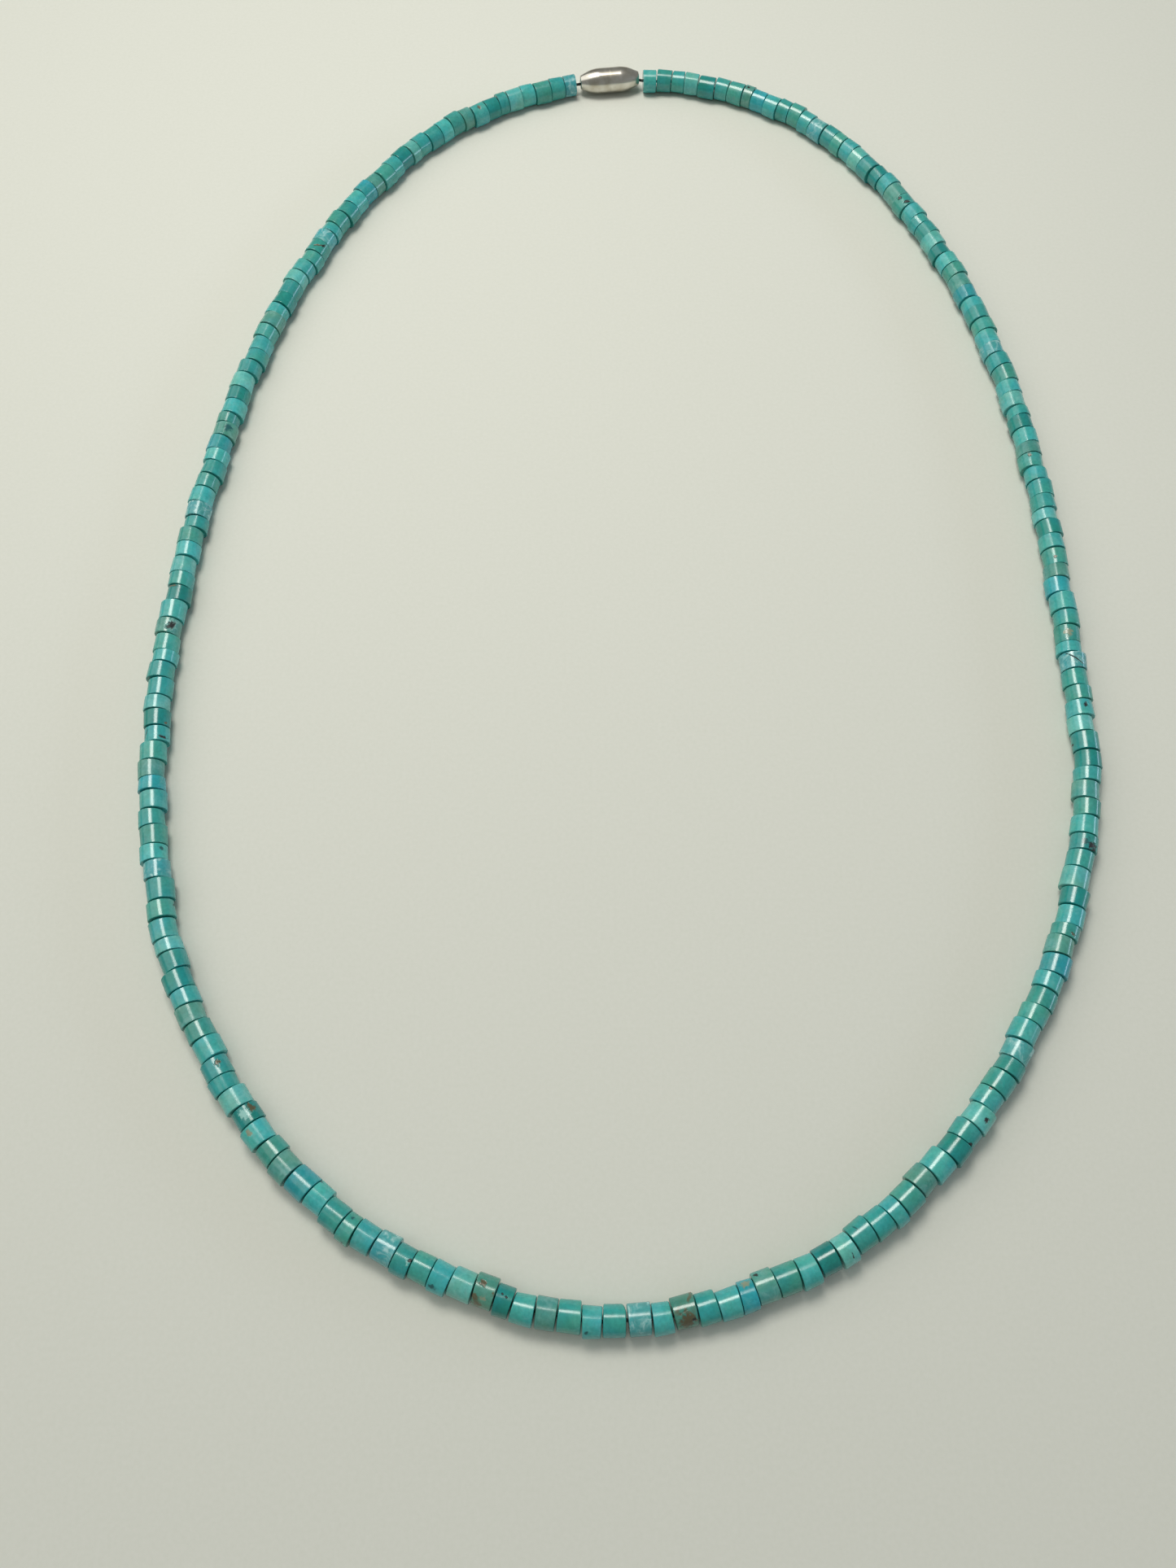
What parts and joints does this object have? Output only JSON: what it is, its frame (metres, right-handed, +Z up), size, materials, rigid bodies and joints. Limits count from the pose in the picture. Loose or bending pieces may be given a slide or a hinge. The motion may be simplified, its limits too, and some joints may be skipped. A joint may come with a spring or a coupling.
{
  "type": "beaded necklace",
  "caption": "Single string of polished turquoise-coloured stone cylinder beads, a closed loop lying flat with a plain barrel clasp at the back.",
  "frame": {"origin": "middle of the loop seen from above, on the surface that the necklace lies on", "axes": "+Z up from the surface; +Y towards the clasp at the back of the neck, -Y towards the front of the necklace; +X to the right seen from above with the front nearest"},
  "size_m": [0.1492, 0.2359, 0.0046],
  "materials": {
    "turquoise": "polished",
    "silver": "polished",
    "thread": "matte"
  },
  "bodies": {
    "root": {"bead_string_left": "turquoise", "bead_string_right": "turquoise", "clasp": "silver"}
  },
  "joints": []
}
